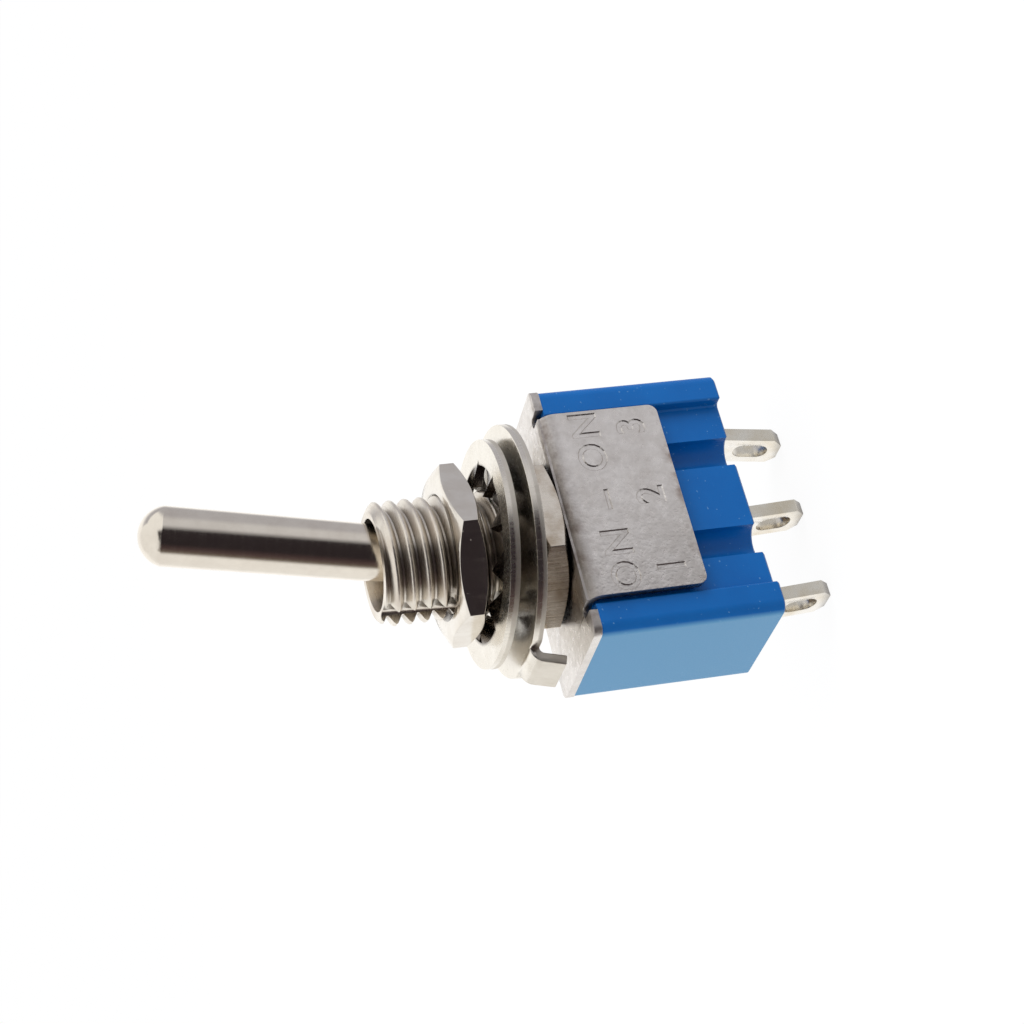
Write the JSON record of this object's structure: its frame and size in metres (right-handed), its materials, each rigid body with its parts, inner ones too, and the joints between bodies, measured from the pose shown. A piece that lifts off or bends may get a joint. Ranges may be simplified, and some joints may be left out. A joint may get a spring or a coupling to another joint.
{
  "type": "toggle switch",
  "caption": "Miniature panel-mount toggle switch: domed lever in a threaded bushing with nuts and washers, on a blue case with solder lugs.",
  "frame": {"origin": "on the bushing's axis, at the top face of the metal frame, the plane from which the bushing's length is given", "axes": "+Z out of the panel along the bushing, X along the row of terminals with the keyway at -X and the lever at rest leaning to +X, -Y the side with the flap that carries the marks"},
  "size_m": [0.0137, 0.0124, 0.0328],
  "materials": {
    "blue_case": "moulded thermoplastic, satin",
    "sealing_resin": "cast resin",
    "plated_sheet": "nickel-plated folded sheet, satin",
    "plated_brass": "nickel-plated brass, bright",
    "plated_lever": "nickel-plated brass, bright",
    "plated_nut": "nickel-plated brass, bright",
    "plated_washer": "nickel-plated steel, bright",
    "white_nylon": "moulded nylon",
    "spring_steel": "drawn wire",
    "silvered_strip": "silver-plated strip",
    "silvered_lug": "silver-plated brass",
    "contact_silver": "silver"
  },
  "bodies": {
    "housing": {"case": "blue_case", "terminal_seal": "sealing_resin", "frame": "plated_sheet", "bushing": "plated_brass", "fixed_contact_left": "contact_silver", "fixed_contact_right": "contact_silver", "terminal_left": "silvered_lug", "terminal_centre": "silvered_lug", "terminal_right": "silvered_lug", "front_nut": "plated_nut", "lock_washer": "plated_washer", "locating_ring": "plated_washer", "rear_nut": "plated_nut"},
    "lever": {"lever": "plated_lever", "plunger_spring": "spring_steel"},
    "plunger": {"plunger": "white_nylon"},
    "rocker": {"rocker": "silvered_strip", "moving_contact_left": "contact_silver", "moving_contact_right": "contact_silver"}
  },
  "joints": [
    {"name": "lever_hinge", "type": "hinge", "parent": "housing", "child": "lever", "pos_m": [0, 0, 0.0055], "axis": [0, 1, 0], "range_deg": [-25, 0]},
    {"name": "plunger_slide", "type": "slide", "parent": "lever", "child": "plunger", "axis": [0.2164, 0, 0.9763], "range_m": [0, 0.0004], "stiffness_N_per_m": 500, "springref_m": -0.002, "deforming": ["plunger_spring"]},
    {"name": "rocker_hinge", "type": "hinge", "parent": "housing", "child": "rocker", "pos_m": [0, 0, -0.00363], "axis": [0, 1, 0], "range_deg": [0, 16]}
  ],
  "couplings": [
    {"joint": "rocker_hinge", "follows": "lever_hinge", "ratio": -0.64}
  ]
}
